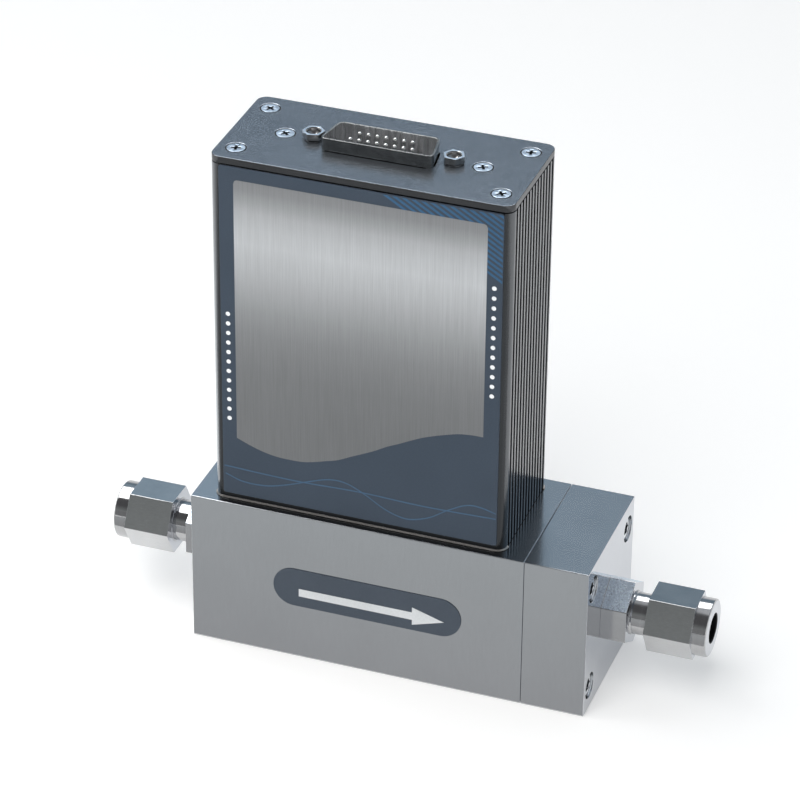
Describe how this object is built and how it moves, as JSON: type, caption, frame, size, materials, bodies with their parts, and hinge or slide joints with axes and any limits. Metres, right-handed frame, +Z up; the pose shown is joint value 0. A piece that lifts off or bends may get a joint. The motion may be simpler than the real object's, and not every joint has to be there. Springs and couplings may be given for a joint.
{
  "type": "gas mass flow meter",
  "caption": "Gas mass flow meter: block base with a tube fitting at each end, tall ribbed metal housing with a printed front, and a pin plug on its top plate.",
  "frame": {"origin": "bottom centre of the bounding box, on the underside of the block", "axes": "+X along the gas flow from inlet to outlet, -Y towards the labelled front, +Z up"},
  "size_m": [0.148, 0.0368, 0.1318],
  "materials": {
    "block_aluminium": "satin machined",
    "fitting_steel": "polished",
    "sensor_steel": "satin",
    "jack_steel": "satin",
    "screw_steel": "satin",
    "seal_rubber": "matte",
    "winding": "varnished",
    "bracket_aluminium": "satin",
    "housing_dark": "satin anodised",
    "front_label": "printed, brushed panel",
    "flow_badge": "printed",
    "top_plate": "satin",
    "connector_shell": "plated",
    "insulator_plastic": "matte",
    "pin_metal": "plated",
    "circuit_board": "matte"
  },
  "bodies": {
    "root": {"flow_body": "block_aluminium", "end_block": "block_aluminium", "end_block_seal": "seal_rubber", "end_screw_1": "screw_steel", "end_screw_2": "screw_steel", "end_screw_3": "screw_steel", "end_screw_4": "screw_steel", "inlet_fitting": "fitting_steel", "inlet_nut": "fitting_steel", "inlet_front_ferrule": "fitting_steel", "inlet_back_ferrule": "fitting_steel", "inlet_seal": "seal_rubber", "outlet_fitting": "fitting_steel", "outlet_nut": "fitting_steel", "outlet_front_ferrule": "fitting_steel", "outlet_back_ferrule": "fitting_steel", "outlet_seal": "seal_rubber", "flow_restrictor": "fitting_steel", "sensor_base": "sensor_steel", "sensor_tube": "sensor_steel", "sensor_winding": "winding", "sensor_cover": "bracket_aluminium", "sensor_seal_1": "seal_rubber", "sensor_screw_1": "screw_steel", "sensor_seal_2": "seal_rubber", "sensor_screw_2": "screw_steel", "housing": "housing_dark", "housing_screw_1": "screw_steel", "housing_screw_2": "screw_steel", "front_label": "front_label", "flow_badge": "flow_badge", "top_plate": "top_plate", "lid_screw_1": "screw_steel", "lid_screw_2": "screw_steel", "lid_screw_3": "screw_steel", "lid_screw_4": "screw_steel", "lid_screw_5": "screw_steel", "lid_screw_6": "screw_steel", "connector_shell": "connector_shell", "connector_insulator": "insulator_plastic", "pin_1": "pin_metal", "pin_2": "pin_metal", "pin_3": "pin_metal", "pin_4": "pin_metal", "pin_5": "pin_metal", "pin_6": "pin_metal", "pin_7": "pin_metal", "pin_8": "pin_metal", "pin_9": "pin_metal", "pin_10": "pin_metal", "pin_11": "pin_metal", "pin_12": "pin_metal", "pin_13": "pin_metal", "pin_14": "pin_metal", "pin_15": "pin_metal", "jack_screw_1": "jack_steel", "jack_screw_2": "jack_steel", "circuit_board": "circuit_board", "board_bracket_1": "bracket_aluminium", "board_bracket_2": "bracket_aluminium"}
  },
  "joints": []
}
